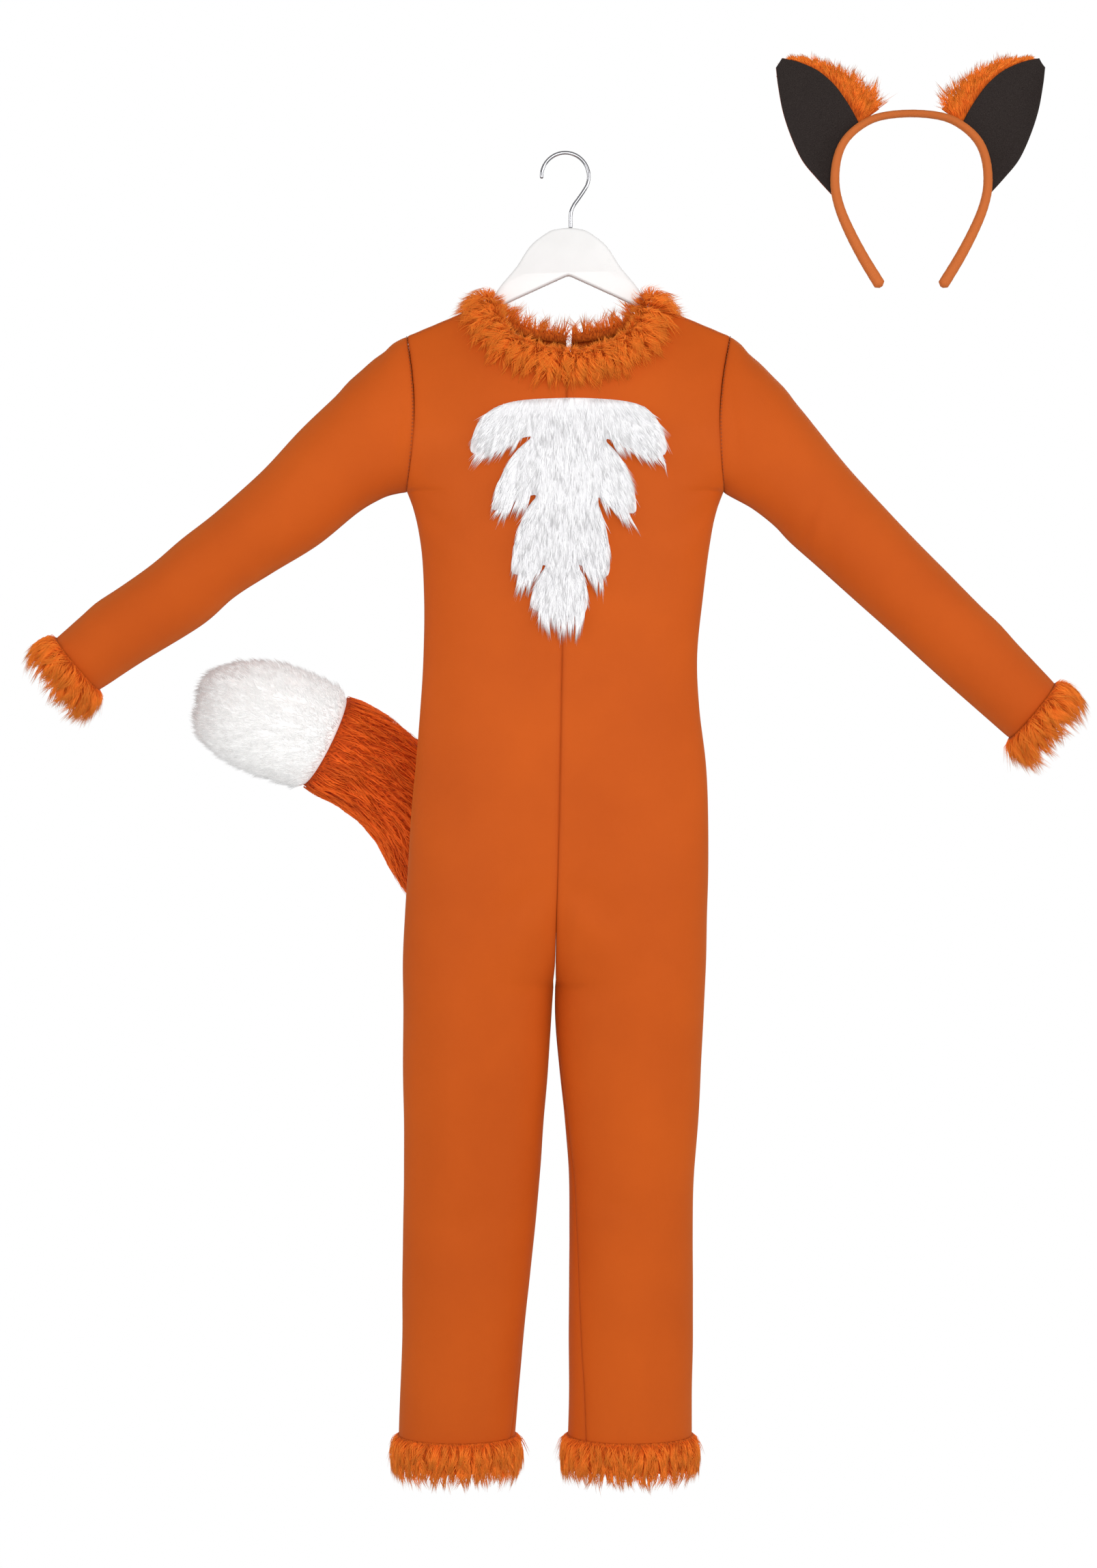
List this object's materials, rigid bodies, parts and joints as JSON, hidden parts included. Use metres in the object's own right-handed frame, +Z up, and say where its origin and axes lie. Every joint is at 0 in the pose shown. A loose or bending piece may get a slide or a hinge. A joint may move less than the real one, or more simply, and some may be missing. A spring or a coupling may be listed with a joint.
{
  "type": "fox costume",
  "caption": "Child's fox jumpsuit with fur trims, white chest patch and stuffed tail on a clothes hanger, and a headband with fox ears.",
  "frame": {"origin": "the point inside the hook's crown where a rail carries the hanger", "axes": "+Z up, the costume's front faces -Y, +X towards the wearer's left"},
  "size_m": [0.9795, 0.211, 1.3169],
  "materials": {
    "copper_knit": "smooth copper-orange stretch knit with a soft sheen",
    "rust_fur": "long orange fake fur",
    "tail_fur": "long rust fake fur",
    "white_fur": "long white fake fur",
    "black_felt": "matt black-brown felt",
    "white_lacquer": "white satin lacquer",
    "chrome": "polished",
    "zip_coil": "woven tape and coil"
  },
  "bodies": {
    "costume": {"front_right": "copper_knit", "front_left": "copper_knit", "back_right": "copper_knit", "back_left": "copper_knit", "sleeve_right": "copper_knit", "sleeve_left": "copper_knit", "headband": "copper_knit", "neck_fur": "rust_fur", "cuff_fur_right": "rust_fur", "cuff_fur_left": "rust_fur", "ankle_fur_right": "rust_fur", "ankle_fur_left": "rust_fur", "ear_fur_right": "rust_fur", "ear_fur_left": "rust_fur", "ear_inside_right": "black_felt", "ear_inside_left": "black_felt", "chest_patch": "white_fur", "tail_tip": "white_fur", "tail_body": "tail_fur", "zip_coil": "zip_coil", "zip_slider": "chrome", "hanger_body": "white_lacquer", "hanger_hook": "chrome"},
    "pull": {"zip_pull": "chrome"}
  },
  "joints": [
    {"name": "pull_swing", "type": "hinge", "parent": "costume", "child": "pull", "pos_m": [0.00065, 0.05291, -0.23548], "axis": [1, 0, 0], "range_deg": [0, 150]}
  ]
}
